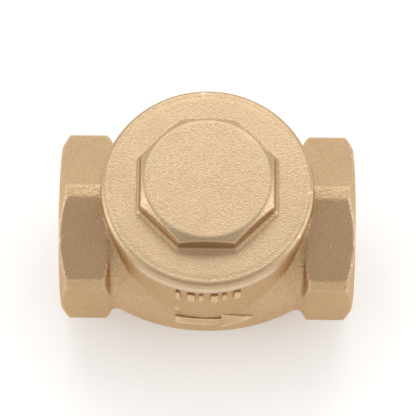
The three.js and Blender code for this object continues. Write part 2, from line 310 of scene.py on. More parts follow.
def lightStudio(v):
    world = bpy.data.worlds.new("studio")
    world.use_nodes = True
    tree = world.node_tree
    background = tree.nodes["Background"]
    towards = tree.nodes.new("ShaderNodeTexCoord").outputs["Generated"]
    facing = tree.nodes.new("ShaderNodeVectorMath")
    facing.operation = "DOT_PRODUCT"
    facing.inputs[1].default_value = Vector(v["hushFrom"]).normalized()
    tree.links.new(towards, facing.inputs[0])
    dim = tree.nodes.new("ShaderNodeMapRange")
    dim.interpolation_type = "SMOOTHSTEP"
    tree.links.new(facing.outputs["Value"], dim.inputs["Value"])
    for label, number in zip(("From Min", "From Max", "To Min", "To Max"),
                             (*v["hushSpan"], v["world"], v["world"] * (1 - v["hush"]))):
        dim.inputs[label].default_value = number
    tree.links.new(dim.outputs["Result"], background.inputs["Strength"])
    tint = tree.nodes.new("ShaderNodeMapRange")
    tint.data_type = "FLOAT_VECTOR"
    tree.links.new(facing.outputs["Value"], tint.inputs[6])
    near, full = v["hushSpan"]
    for socket, value in zip(tint.inputs[7:11], ([near] * 3, [full] * 3, (1, 1, 1), v["hushTint"])):
        socket.default_value = value
    tree.links.new(tint.outputs["Vector"], background.inputs["Color"])
    bpy.context.scene.world = world
    for name, place, size, power in v["panels"]:
        bpy.ops.object.light_add(type="AREA", location=place)
        lamp = bpy.context.object
        lamp.name = name
        lamp.data.size = size
        lamp.data.energy = power
        aim = Vector(flowAxis) * mm - Vector(place)
        lamp.rotation_euler = aim.to_track_quat("-Z", "Y").to_euler()
    bpy.context.scene.view_settings.view_transform = "Standard"


def paperFloor(v):
    bpy.ops.object.select_all(action="DESELECT")
    bpy.ops.mesh.primitive_plane_add(size=4)
    floor = named("floor")
    paper = bpy.data.materials.new("white paper")
    paper.use_nodes = True
    shader = paper.node_tree.nodes["Principled BSDF"]
    shader.inputs["Base Color"].default_value = v["paper"]
    shader.inputs["Roughness"].default_value = v["paperRough"]
    shader.inputs["Specular IOR Level"].default_value = 0.1
    shader.inputs["Emission Color"].default_value = (1, 1, 1, 1)
    shader.inputs["Emission Strength"].default_value = v["table"]
    floor.data.materials.append(paper)


placeCamera(camera)
lightStudio(studio)
paperFloor(studio)
say("studio set")


def newGroup(name, inputs, outputs):
    group = bpy.data.node_groups.new(name, "ShaderNodeTree")
    for label, kind, value in inputs:
        socket = group.interface.new_socket(label, in_out="INPUT", socket_type="NodeSocket" + kind)
        socket.default_value = value
    for label, kind in outputs:
        group.interface.new_socket(label, in_out="OUTPUT", socket_type="NodeSocket" + kind)
    return group, group.nodes.new("NodeGroupInput"), group.nodes.new("NodeGroupOutput")


def addNode(tree, kind, **settings):
    node = tree.nodes.new("ShaderNode" + kind)
    for key, value in settings.items():
        if key in node.inputs:
            node.inputs[key].default_value = value
        else:
            setattr(node, key, value)
    return node


def calculate(tree, operation, first, second):
    node = tree.nodes.new("ShaderNodeMath")
    node.operation = operation
    for socket, value in zip(node.inputs, (first, second)):
        if isinstance(value, (int, float)):
            socket.default_value = value
        else:
            tree.links.new(value, socket)
    return node.outputs[0]


def remap(tree, value, low, high, toLow=0.0, toHigh=1.0):
    node = tree.nodes.new("ShaderNodeMapRange")
    node.interpolation_type = "SMOOTHSTEP"
    tree.links.new(value, node.inputs["Value"])
    for label, number in (("From Min", low), ("From Max", high), ("To Min", toLow), ("To Max", toHigh)):
        node.inputs[label].default_value = number
    return node.outputs["Result"]


def mixColour(tree, factor, first, second):
    node = tree.nodes.new("ShaderNodeMix")
    node.data_type = "RGBA"
    sockets = (node.inputs[0], node.inputs[6], node.inputs[7])
    for socket, value in zip(sockets, (factor, first, second)):
        if isinstance(value, (int, float)):
            socket.default_value = value
        elif isinstance(value, tuple):
            socket.default_value = (*value, 1)
        else:
            tree.links.new(value, socket)
    return node.outputs[2]


# blasted grain: fine pits and lumps of the sand, with slow mottling over the casting
def grainGroup():
    group, given, result = newGroup(
        "blastedGrain",
        [("Grain size mm", "Float", 0.6), ("Mottle size mm", "Float", 7.0)],
        [("Height", "Float"), ("Speckle", "Float"), ("Mottle", "Float")])
    place = addNode(group, "TexCoord").outputs["Object"]
    perMillimetre = calculate(group, "DIVIDE", 1000.0, given.outputs["Grain size mm"])
    lumps = addNode(group, "TexNoise", Detail=3.0, Roughness=0.62, Distortion=0.25)
    group.links.new(place, lumps.inputs["Vector"])
    group.links.new(perMillimetre, lumps.inputs["Scale"])
    pits = addNode(group, "TexVoronoi", feature="F1", Randomness=1.0)
    group.links.new(place, pits.inputs["Vector"])
    group.links.new(calculate(group, "MULTIPLY", perMillimetre, 0.75), pits.inputs["Scale"])
    wide = addNode(group, "TexNoise", Detail=4.0, Roughness=0.55)
    group.links.new(place, wide.inputs["Vector"])
    group.links.new(calculate(group, "DIVIDE", 1000.0, given.outputs["Mottle size mm"]), wide.inputs["Scale"])
    lumpShare = calculate(group, "MULTIPLY", lumps.outputs["Fac"], 0.7)
    pitShare = calculate(group, "MULTIPLY", remap(group, pits.outputs["Distance"], 0.0, 0.55), 0.3)
    group.links.new(calculate(group, "ADD", lumpShare, pitShare), result.inputs["Height"])
    group.links.new(remap(group, lumps.outputs["Fac"], 0.34, 0.66), result.inputs["Speckle"])
    group.links.new(remap(group, wide.outputs["Fac"], 0.3, 0.7), result.inputs["Mottle"])
    return group


# painted highlights on ridges and painted shade in hollows, from how sharply the surface turns
def ridgeGroup():
    group, given, result = newGroup(
        "ridgesAndHollows", [("Spread", "Float", 0.06)], [("Ridge", "Float"), ("Hollow", "Float")])
    bend = addNode(group, "NewGeometry").outputs["Pointiness"]
    offset = calculate(group, "DIVIDE", calculate(group, "SUBTRACT", bend, 0.5), given.outputs["Spread"])
    group.links.new(remap(group, offset, 0.25, 1.0), result.inputs["Ridge"])
    inward = calculate(group, "MULTIPLY", offset, -1.0)
    group.links.new(remap(group, inward, 0.1, 1.0), result.inputs["Hollow"])
    return group


# lathe rings: fine grooves round an axis, from noise on the distance out from it and along it
def latheGroup():
    group, given, result = newGroup(
        "latheRings",
        [("Groove mm", "Float", 0.12), ("Axis", "Vector", (0, 0, 1)), ("Centre", "Vector", (0, 0, 0))],
        [("Height", "Float"), ("Streak", "Float")])

    def vectorMath(operation, first, second, output="Vector"):
        node = group.nodes.new("ShaderNodeVectorMath")
        node.operation = operation
        group.links.new(first, node.inputs[0])
        group.links.new(second, node.inputs["Scale" if operation == "SCALE" else 1])
        return node.outputs[output]

    place = addNode(group, "TexCoord").outputs["Object"]
    offset = vectorMath("SUBTRACT", place, given.outputs["Centre"])
    along = vectorMath("DOT_PRODUCT", offset, given.outputs["Axis"], "Value")
    outward = vectorMath("SUBTRACT", offset, vectorMath("SCALE", given.outputs["Axis"], along))
    length = group.nodes.new("ShaderNodeVectorMath")
    length.operation = "LENGTH"
    group.links.new(outward, length.inputs[0])
    where = group.nodes.new("ShaderNodeCombineXYZ")
    group.links.new(length.outputs["Value"], where.inputs[0])
    group.links.new(along, where.inputs[1])
    noise = addNode(group, "TexNoise", Detail=3.0, Roughness=0.6)
    group.links.new(where.outputs[0], noise.inputs["Vector"])
    group.links.new(calculate(group, "DIVIDE", 1000.0, given.outputs["Groove mm"]), noise.inputs["Scale"])
    group.links.new(noise.outputs["Fac"], result.inputs["Height"])
    group.links.new(remap(group, noise.outputs["Fac"], 0.35, 0.65), result.inputs["Streak"])
    return group


blastedGrain, ridgesAndHollows, latheRings = grainGroup(), ridgeGroup(), latheGroup()


def placeGroup(tree, group, **values):
    node = tree.nodes.new("ShaderNodeGroup")
    node.node_tree = group
    for label, value in values.items():
        node.inputs[label.replace("_", " ")].default_value = value
    return node


def newMaterial(name, metallic):
    material = bpy.data.materials.new(name)
    material.use_nodes = True
    shader = material.node_tree.nodes["Principled BSDF"]
    shader.inputs["Metallic"].default_value = metallic
    return material, material.node_tree, shader


def addBump(tree, shader, pattern, v):
    bump = addNode(tree, "Bump", Strength=v["bump"], Distance=v["relief"] * mm)
    tree.links.new(pattern.outputs["Height"], bump.inputs["Height"])
    tree.links.new(bump.outputs["Normal"], shader.inputs["Normal"])


# relief, grain and mottle sizes are in mm, colours are linear
# pale is also the painted highlight on edges, and deep is also the painted shade in hollows
castLook = {"deep": (0.40, 0.19, 0.06), "base": (0.575, 0.408, 0.243), "pale": (0.77, 0.585, 0.38),
            "edge": (0.97, 0.85, 0.66), "grain": 0.42, "mottle": 6.0, "relief": 0.2, "speckle": 0.22,
            "rough": (0.33, 0.45), "metallic": 0.92, "mottling": 0.14, "paintedHighlight": 0.8, "paintedShade": 0.85,
            "spread": 0.05, "bump": 0.9}
lidLook = {**castLook, "base": (0.545, 0.403, 0.252), "pale": (0.79, 0.61, 0.41), "relief": 0.085,
           "speckle": 0.12, "grain": 0.36}


def castBrass(name, v):
    material, tree, shader = newMaterial(name, v["metallic"])
    shader.inputs["Specular Tint"].default_value = (*v["edge"], 1)
    grain = placeGroup(tree, blastedGrain, Grain_size_mm=v["grain"], Mottle_size_mm=v["mottle"])
    ridge = placeGroup(tree, ridgesAndHollows, Spread=v["spread"])
    mottled = calculate(tree, "MULTIPLY", grain.outputs["Mottle"], v["mottling"])
    colour = mixColour(tree, mottled, v["base"], v["pale"])
    pits = calculate(tree, "SUBTRACT", 1.0, grain.outputs["Speckle"])
    colour = mixColour(tree, calculate(tree, "MULTIPLY", pits, v["speckle"]), colour, v["deep"])
    # convex edges are paled towards pale: a painted highlight
    paintedHighlight = calculate(tree, "MULTIPLY", ridge.outputs["Ridge"], v["paintedHighlight"])
    # hollows are darkened towards deep: painted shade
    paintedShade = calculate(tree, "MULTIPLY", ridge.outputs["Hollow"], v["paintedShade"])
    withPaintedLight = mixColour(tree, paintedShade, mixColour(tree, paintedHighlight, colour, v["pale"]), v["deep"])
    tree.links.new(withPaintedLight, shader.inputs["Base Color"])
    smoothest, roughest = v["rough"]
    tree.links.new(remap(tree, grain.outputs["Speckle"], 0.0, 1.0, roughest, smoothest),
                   shader.inputs["Roughness"])
    addBump(tree, shader, grain, v)
    return material


# hollow is the colour of the painted shade in hollows
turnedLook = {"base": (0.72, 0.545, 0.37), "streak": (0.64, 0.46, 0.28), "hollow": (0.42, 0.21, 0.07),
              "rough": (0.28, 0.4), "relief": 0.012, "groove": 0.22, "streaking": 0.5, "paintedShade": 0.6,
              "spread": 0.08, "bump": 0.5}


def turnedMetal(name, v, axis, centre):
    material, tree, shader = newMaterial(name, 1.0)
    rings = placeGroup(tree, latheRings, Groove_mm=v["groove"])
    rings.inputs["Axis"].default_value = directions[axis][0]
    rings.inputs["Centre"].default_value = Vector(centre) * mm
    ridge = placeGroup(tree, ridgesAndHollows, Spread=v["spread"])
    streaks = calculate(tree, "MULTIPLY", rings.outputs["Streak"], v["streaking"])
    colour = mixColour(tree, streaks, v["base"], v["streak"])
    # hollows are darkened towards the hollow colour: painted shade
    paintedShade = calculate(tree, "MULTIPLY", ridge.outputs["Hollow"], v["paintedShade"])
    withPaintedLight = mixColour(tree, paintedShade, colour, v["hollow"])
    tree.links.new(withPaintedLight, shader.inputs["Base Color"])
    tree.links.new(remap(tree, rings.outputs["Streak"], 0.0, 1.0, *v["rough"]), shader.inputs["Roughness"])
    addBump(tree, shader, rings, v)
    return material


rubberLook = {"base": (0.02, 0.02, 0.021), "other": (0.035, 0.034, 0.033), "rough": 0.62, "grain": 0.5,
              "mottle": 4.0, "relief": 0.02, "bump": 0.6}
fibreLook = {"base": (0.26, 0.12, 0.08), "other": (0.36, 0.18, 0.12), "rough": 0.8, "grain": 0.35,
             "mottle": 4.0, "relief": 0.03, "bump": 0.6}


def softMaterial(name, v):  # rubber and fibre board
    material, tree, shader = newMaterial(name, 0.0)
    grain = placeGroup(tree, blastedGrain, Grain_size_mm=v["grain"], Mottle_size_mm=v["mottle"])
    colour = mixColour(tree, grain.outputs["Mottle"], v["base"], v["other"])
    tree.links.new(colour, shader.inputs["Base Color"])
    tree.links.new(remap(tree, grain.outputs["Speckle"], 0.0, 1.0, v["rough"] + 0.1, v["rough"] - 0.1),
                   shader.inputs["Roughness"])
    addBump(tree, shader, grain, v)
    return material


castSkin = castBrass("cast brass", castLook)
lidSkin = castBrass("cast brass, cap", lidLook)
machined = turnedMetal("turned brass", turnedLook, "X", flowAxis)
machinedCap = turnedMetal("turned brass, cap", turnedLook, "Z", (0, 0, 0))
machinedPin = turnedMetal("turned brass, pin", turnedLook, "Y", pinAxis)
machinedDisc = turnedMetal("turned brass, disc", turnedLook, "X", seatAxis)
rubber = softMaterial("nitrile rubber", rubberLook)
fibre = softMaterial("gasket fibre", fibreLook)
copperLook = {**turnedLook, "base": (0.75, 0.42, 0.28), "streak": (0.62, 0.32, 0.2)}
copper = turnedMetal("annealed copper", copperLook, "Y", pinAxis)


def finishWith(piece, material):
    piece.data.materials.clear()
    piece.data.materials.append(material)
    return piece


def deliver(piece, node, body):
    settle(piece)
    piece.name = node + ".skin"
    piece.data.name = piece.name
    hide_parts(node)
    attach(piece, body)
    return piece


say("materials made")


# the valve body: a blasted casting, machined where things screw or seat
casting = {
    "voxel": 0.36, "hexLength": 9.4, "endRing": 15.7, "endSlope": 32, "innerChamfer": 16.5,
    "neck": 15.8, "belly": (27.5, 20.4, 17.0), "tower": 19.6, "towerFoot": 20.1, "towerTop": 15.5,
    "relief": 20.1, "chamber": 13.9, "cavity": (15.0, 16.8, 13.6),
    "socket": 12.06, "socketRoot": 13.2, "mouth": 13.5, "socketDepth": 11.4, "undercut": 13.35,
    "undercutWidth": 1.6, "pipePitch": 1.814,
    "capRoot": 15.0, "capCrest": 14.1, "capPitch": 1.5, "capBoreDepth": 5.1,
    "seatBore": 7.6, "seatLand": 8.25, "seatHeight": 0.8, "boss": 2.6, "bossGap": 6.0,
    "outletBore": 11.0, "portMouth": 9.6,
    "arrowHeight": 0.35, "arrowTail": -5.9, "arrowNeck": 2.8, "arrowTip": 8.9, "arrowMiddle": 2.6,
    "arrowHalf": 1.1, "barbHalf": 2.3,
    "markHeight": 0.4, "tallyFrom": -5.8, "tallyStep": 2.2, "tallyTop": 14.9,
    "tally": ((0.8, 11.8), (1.4, 11.8), (0.8, 12.6), (1.4, 11.8), (0.8, 12.6), (1.2, 11.8)),  # width, foot
    "pinBore": 1.3, "plugBore": (2.68, 3.1, 0.75), "plugFrom": 14.5, "spotFace": 5.4, "spotY": 17.6,
}


# one wrench hexagon with its long corners flattened and both ends chamfered by a turned envelope
def hexagonEnd(side, v):
    inner, outer = halfLength - v["hexLength"], halfLength + 0.8
    low, high = sorted((side * inner, side * outer))
    piece = prism("hexagon", 6, hexCorner, low, high, "X", flowAxis, math.pi / 6)
    activate(piece)
    bpy.ops.object.mode_set(mode="EDIT")
    bpy.ops.mesh.select_mode(type="EDGE")
    bpy.ops.mesh.select_all(action="DESELECT")
    bpy.ops.object.mode_set(mode="OBJECT")
    for edge in piece.data.edges:
        ends = [piece.data.vertices[i].co.x for i in edge.vertices]
        edge.select = abs(ends[0] - ends[1]) > mm
    bpy.ops.object.mode_set(mode="EDIT")
    bpy.ops.mesh.bevel(offset_type="WIDTH", offset=cornerFlat * mm, segments=1, affect="EDGES")
    bpy.ops.object.mode_set(mode="OBJECT")
    rim = hexCorner + 1
    slope = math.tan(math.radians(v["endSlope"]))
    profile = [(0, inner - 1), (v["innerChamfer"] - 1.2, inner - 1),
               (rim, inner + (rim - v["innerChamfer"]) * 0.7),
               (rim, halfLength - (rim - v["endRing"]) * slope), (v["endRing"], halfLength),
               (v["endRing"] - 1.8, outer + 0.1), (0, outer + 0.1)]
    envelope = turn("envelope", [(r, side * h) for r, h in profile], "X", flowAxis, 128)
    return cut(piece, envelope, "INTERSECT")


def ellipsoid(name, radii):
    bpy.ops.object.select_all(action="DESELECT")
    bpy.ops.mesh.primitive_uv_sphere_add(segments=96, ring_count=48, radius=mm,
                                         location=(0, 0, axisZ * mm), scale=radii)
    return settle(named(name))


# a raised sign: a flat outline pushed out of the front wall, kept to a thin layer over it
def raisedSign(name, outline, wall):
    piece = pushOut(name, [(x, -12, axisZ + z) for x, z in outline], -15)
    return cut(piece, wall, "INTERSECT")


# the flow arrow on the belly, and plain tally bars on the tower in place of lettering
def raisedSigns(v):
    arrowWall = ellipsoid("arrow wall", [r + v["arrowHeight"] for r in v["belly"]])
    tail, neck, tip, middle = (v[key] for key in ("arrowTail", "arrowNeck", "arrowTip", "arrowMiddle"))
    under, over = middle - v["arrowHalf"], middle + v["arrowHalf"]
    arrow = [(tail, under), (neck, under), (neck, middle - v["barbHalf"]), (tip, middle),
             (neck, middle + v["barbHalf"]), (neck, over), (tail, over)]
    signs = [raisedSign("flow arrow", arrow, arrowWall)]
    around = v["tower"] + v["markHeight"]
    for k, (width, low) in enumerate(v["tally"]):
        wall = turn("mark wall", [(0, 0), (around, 0), (around, 16), (0, 16)], "Z", flowAxis, 96)
        left, top = v["tallyFrom"] + v["tallyStep"] * k, v["tallyTop"]
        bar = [(left, low), (left + width, low), (left + width, top), (left, top)]
        signs.append(raisedSign("tally", bar, wall))
    return signs


# barrel, necks, tower and hexagons grown into one skin, with its feet and roots softened like a casting
def castingSkin(v):
    barrel = ellipsoid("barrel", v["belly"])
    neck = prism("neck", 96, v["neck"], -halfLength + 4, halfLength - 4, "X", flowAxis)
    tower = turn("tower", [(0, 0), (v["towerFoot"], 0), (v["towerFoot"], 4), (v["tower"], 11),
                           (v["tower"], v["towerTop"] + 1), (0, v["towerTop"] + 1)],
                 "Z", flowAxis, 128)
    bellyDepth = v["belly"][1]  # the tower's foot stands no further out than the belly
    cut(tower, block("within", (-clear, -bellyDepth, 0), (clear, bellyDepth, 2 * clear)), "INTERSECT")
    skin = fuse([barrel, neck, tower, hexagonEnd(1, v), hexagonEnd(-1, v)], "casting skin")
    remesh(skin, v["voxel"])
    soften(skin, 2)

    def footWeight(spot):  # where the tower runs into the belly
        around = math.hypot(spot.x, spot.y)
        height = spot.z - axisZ
        nearTower = max(0.0, 1 - abs(around - v["towerFoot"] + 0.4) / 1.8)
        a, b, c = v["belly"]
        barrelRadius = math.sqrt((spot.x / a) ** 2 + (spot.y / b) ** 2 + (height / c) ** 2)
        nearBarrel = max(0.0, 1 - abs(barrelRadius - 1) / 0.1)
        return min(1.0, 2.5 * nearTower * nearBarrel) if height > 1 and abs(spot.x) < 18 else 0.0

    def rootWeight(spot):  # where each neck runs into its hexagon
        inner = halfLength - v["hexLength"]
        around = math.hypot(spot.y, spot.z - axisZ)
        return max(0.0, 1 - abs(abs(spot.x) - inner + 0.2) / 1.1) if around < v["neck"] + 0.9 else 0.0

    soften(skin, 24, weigh(skin, "foot", footWeight))
    soften(skin, 6, weigh(skin, "roots", rootWeight))
    for sign in raisedSigns(v):
        cut(skin, sign, "UNION")
    return finishWith(skin, castSkin)


# a female pipe thread with a countersunk mouth and a run-out groove behind it
def socketTool(side, v):
    deep = halfLength - v["socketDepth"]
    low, high = deep + v["undercutWidth"], halfLength + 0.5
    ends = sorted((side * low, side * high))
    core = threadedCore("pipe thread", v["socket"], v["socketRoot"], v["pipePitch"], *ends, "X", flowAxis, 64)
    mouth = v["mouth"] - v["socket"] + 0.3
    stepped = turn("socket", [(r, side * h) for r, h in (
        (0, deep), (v["undercut"] - 0.3, deep), (v["undercut"], deep + 0.3),
        (v["undercut"], low - 0.05), (v["socket"] - 0.3, low + 0.9),
        (v["socket"] - 0.3, halfLength - mouth), (v["mouth"], halfLength),
        (v["mouth"] + 0.8, halfLength + 0.8), (0, halfLength + 0.8))], "X", flowAxis, 128)
    return cut(core, stepped, "UNION")


# the hollow inside, less the seat's land and the two bosses that hold the hinge pin
def chamberTool(v):
    hollow = ellipsoid("hollow", v["cavity"])
    well = prism("well", 128, v["chamber"], 0, v["towerTop"] + 2, "Z", flowAxis)
    cut(hollow, well, "UNION")
    limit = block("limit", (seatX - v["seatHeight"], -30, -30), (30, 30, 60))
    cut(hollow, limit, "INTERSECT")
    land = turn("seat land", [(v["seatBore"] - 1, -3), (v["seatLand"], -3), (v["seatLand"], -0.25),
                              (v["seatLand"] - 0.25, 0), (v["seatBore"] - 1, 0), (v["seatBore"] - 1, -3)],
                "X", (seatX, 0, seatZ), 96)
    cut(hollow, land)
    boss = prism("boss", 48, v["boss"], -16, 16, "Y", pinAxis)
    web = block("web", (seatX - 2, -16, pinZ - v["boss"]), (pinX, 16, pinZ + 1))
    cut(boss, web, "UNION")
    cut(boss, block("boss gap", (-30, -v["bossGap"], -30), (30, v["bossGap"], 60)))
    cut(hollow, boss)
    return hollow


def valveBody(v):
    body = castingSkin(v)
    say("casting skin")
    cut(body, finishWith(chamberTool(v), castSkin))
    top = v["towerTop"]
    bore = threadedCore("cap thread", v["capCrest"] + 0.1, v["capRoot"] + 0.02, v["capPitch"],
                        top - v["capBoreDepth"], top + 1, "Z", flowAxis, 64)
    lead = turn("cap lead", [(0, top - 0.9), (v["capCrest"], top - 0.9), (v["capRoot"] + 0.6, top + 0.6),
                             (0, top + 0.6)], "Z", flowAxis, 128)
    faced = prism("faced", 160, v["relief"], top, top + 12, "Z", flowAxis)
    deep = halfLength - v["socketDepth"]
    port = turn("port", [(0, -deep - 0.3), (v["portMouth"], -deep - 0.3), (v["seatBore"], seatX - 2.4),
                         (v["seatBore"], seatX - 0.2), (v["seatBore"] + 0.2, seatX + 0.2), (0, seatX + 0.2)],
                "X", seatAxis, 96)
    outlet = prism("outlet", 96, v["outletBore"], 6, deep + 0.3, "X", flowAxis)
    pinHole = prism("pin hole", 32, v["pinBore"], span("hinge_pin", "y")[0] - 0.2, clear, "Y", pinAxis)
    plugHole = threadedCore("plug thread", *v["plugBore"], v["plugFrom"] - 0.1, 18.5, "Y", pinAxis, 48)
    spot = prism("spot face", 96, v["spotFace"], v["spotY"], clear, "Y", pinAxis)
    ends = [prism("end cut", 160, 22, *sorted((side * halfLength, side * (halfLength + 3))), "X", flowAxis)
            for side in (1, -1)]
    sockets = [socketTool(side, v) for side in (1, -1)]
    for finish, tools in ((machinedCap, (faced, bore, lead)), (machined, (*ends, *sockets, outlet)),
                          (machinedDisc, (port,)), (machinedPin, (pinHole, plugHole, spot))):
        for tool in tools:
            cut(body, finishWith(tool, finish))
    smoothShade(body, 32)
    return deliver(body, "valve_body", "casting")


valveBody(casting)
say("valve body")


# the screwed cap, with a raised octagon to turn it by
lid = {
    "voxel": 0.27, "flange": 19.95, "raw": 20.12, "top": 20.4, "rim": 1.0, "rimDrop": 1.25, "dip": 0.06,
    "foot": 16.3, "octagon": 25.4, "octagonTop": 24.2, "draft": 0.25, "circle": 11.9, "slope": 35,
    "pad": 0.45, "padHeight": 0.3, "minor": 14.02, "major": 14.86, "pitch": 1.5, "skirtEnd": 10.9,
    "runOut": 15.0, "bore": 12.0, "ceiling": 16.4,
    "gasket": (15.3, 18.9),
}


# an octagonal block with drafted sides, sized across its flats
def octagonBlock(acrossLow, acrossHigh, low, high):
    reach = 2 * math.cos(math.pi / 8)
    middle = (axisZ + (low + high) / 2) * mm
    bpy.ops.object.select_all(action="DESELECT")
    bpy.ops.mesh.primitive_cone_add(vertices=8, radius1=acrossLow / reach * mm,
                                    radius2=acrossHigh / reach * mm, depth=(high - low) * mm,
                                    location=(0, 0, middle), rotation=(0, 0, math.pi / 8))
    return settle(named("octagon"))


def capCasting(v):
    top, foot, summit = v["top"], v["foot"], v["octagonTop"]
    inner = v["raw"] - v["rim"]
    rim = []
    for k in range(7):
        angle = math.pi / 2 * k / 6
        rim.append((v["raw"] - v["rim"] * (1 - math.cos(angle)), top - v["rimDrop"] * (1 - math.sin(angle))))
    plate = turn("flange", [(0, foot - 0.4), (v["raw"], foot - 0.4), *rim, (inner - 0.45, top - v["dip"]),
                            (inner - 0.95, top), (0, top)], "Z", flowAxis, 160)
    across = v["octagon"] + 2 * v["pad"]
    pad = octagonBlock(across, across - 0.3, top - 1, top + v["padHeight"])
    head = octagonBlock(v["octagon"], v["octagon"] - 2 * v["draft"], top - 1, summit)
    slope = math.tan(math.radians(v["slope"]))
    crown = turn("crown", [(0, top - 2), (20, top - 2), (20, summit - (20 - v["circle"]) * slope),
                           (v["circle"], summit), (0, summit)], "Z", flowAxis, 160)
    cut(head, crown, "INTERSECT")
    skin = fuse([plate, pad, head], "cap skin")
    remesh(skin, v["voxel"])
    soften(skin, 2)
    return finishWith(skin, lidSkin)


def cap(v):
    skin = capCasting(v)
    flange, foot, end, bore = v["flange"], v["foot"], v["skirtEnd"], v["bore"]
    bandTop = v["top"] - v["rimDrop"] - 0.3
    side = turn("side", [(flange, foot - 3), (clear, foot - 3), (clear, bandTop), (flange, bandTop),
                         (flange, foot - 3)], "Z", flowAxis, 192)
    chamfer = flange - 0.3
    under = turn("under", [(0, foot - 3), (22, foot - 3), (22, foot + 2), (chamfer + 2, foot + 2),
                           (chamfer, foot), (0, foot)], "Z", flowAxis, 192)
    for tool in (side, under):
        cut(skin, finishWith(tool, machinedCap))
    minor, major, runOut = v["minor"], v["major"], v["runOut"]
    skirt = threadedCore("cap thread", minor, major, v["pitch"], end - 0.2, runOut, "Z", flowAxis, 72)
    lead = turn("lead", [(0, end), (minor - 0.1, end), (major + 0.1, end + 0.9), (major + 0.1, foot),
                         (0, foot)], "Z", flowAxis, 128)
    cut(skirt, lead, "INTERSECT")
    root = turn("thread run-out", [(0, runOut - 1), (minor - 0.12, runOut - 1), (minor - 0.12, foot - 0.2),
                                   (minor + 0.1, foot + 0.3), (0, foot + 0.3)], "Z", flowAxis, 128)
    cut(skirt, root, "UNION")
    cut(skin, finishWith(skirt, machinedCap), "UNION")
    ceiling = v["ceiling"]
    hollow = turn("cap hollow", [(0, end - 1), (bore + 1.4, end - 1), (bore, end + 0.4),
                                 (bore, ceiling - 0.5), (bore - 0.5, ceiling), (0.7, ceiling),
                                 (0, ceiling + 0.4)], "Z", flowAxis, 128)
    cut(skin, finishWith(hollow, machinedCap))
    smoothShade(skin, 40)
    return deliver(skin, "cap", "screwed_cap")


def capGasket(v):
    profile = ringProfile(*v["gasket"], *span("cap_gasket", "z"), 0.12)
    ring = turn("gasket", profile, "Z", (0, 0, 0), 192)
    smoothShade(finishWith(ring, fibre), 50)
    return deliver(ring, "cap_gasket", "gasket_ring")


cap(lid)
capGasket(lid)
say("cap and gasket")


# the hinge pin, and the plug and washer that close its hole
hinge = {"radius": 1.25, "chamfer": 0.25, "dimple": 0.4, "thread": (2.5, 2.94, 0.75), "plugHead": 8.4,
         "washer": (3.1, 4.2)}


def hingePin(v):
    low, high = span("hinge_pin", "y")
    r, c, dimple = v["radius"], v["chamfer"], v["dimple"]
    pin = turn("hinge pin", [(0, low + 0.15), (dimple, low), (r - c, low), (r, low + c), (r, high - c),
                             (r - c, high), (dimple, high), (0, high - 0.15)], "Y", pinAxis, 64)
    smoothShade(finishWith(pin, machinedPin), 30)
    return deliver(pin, "hinge_pin", "casting")


def pinPlug(v):
    low, high = span("pin_plug", "y")
    seatAt = span("pin_plug_washer", "y")[1]
    minor, major, pitch = v["thread"]
    plug = threadedCore("plug shank", minor, major, pitch, low - 0.2, seatAt - 0.9, "Y", pinAxis, 48)
    end = turn("plug end", [(0, low), (minor - 0.1, low), (major + 0.1, low + 0.6), (major + 0.1, seatAt),
                            (0, seatAt)], "Y", pinAxis, 64)
    cut(plug, end, "INTERSECT")
    neck = prism("plug neck", 48, minor - 0.05, seatAt - 1.6, seatAt + 0.5, "Y", pinAxis)
    cut(plug, neck, "UNION")
    corner = v["plugHead"] / 2 / math.cos(math.pi / 6)
    head = prism("plug head", 6, corner, seatAt, high, "Y", pinAxis)
    crown = turn("plug crown", [(0, seatAt), (corner - 0.7, seatAt), (corner + 0.3, seatAt + 0.55),
                                (corner + 0.3, high - 0.72), (v["plugHead"] / 2 - 0.1, high), (0.9, high),
                                (0.5, high - 0.3), (0, high - 0.4)], "Y", pinAxis, 96)
    cut(head, crown, "INTERSECT")
    bevelEdges(head, 0.1)
    cut(plug, head, "UNION")
    smoothShade(finishWith(plug, machinedPin), 30)
    return deliver(plug, "pin_plug", "casting")


def plugWasher(v):
    profile = ringProfile(*v["washer"], *span("pin_plug_washer", "y"), 0.15)
    ring = turn("plug washer", profile, "Y", pinAxis, 96)
    smoothShade(finishWith(ring, copper), 50)
    return deliver(ring, "pin_plug_washer", "casting")


hingePin(hinge)
pinPlug(hinge)
plugWasher(hinge)
say("hinge pin and plug")


# the arm that swings on the pin
lever = {"voxel": 0.17, "eye": 4.6, "eyeHole": 2.9, "eyeDepth": 2.4, "hub": 2.05, "hubHalf": 5.6,
         "width": 5.0, "pinHole": 1.3, "heel": 3.6, "shoulder": (1.6, 1.0), "brow": 2.0, "flat": 4.9,
         "backTrim": 0.12, "frontTrim": 0.1, "hubTrim": 0.08}


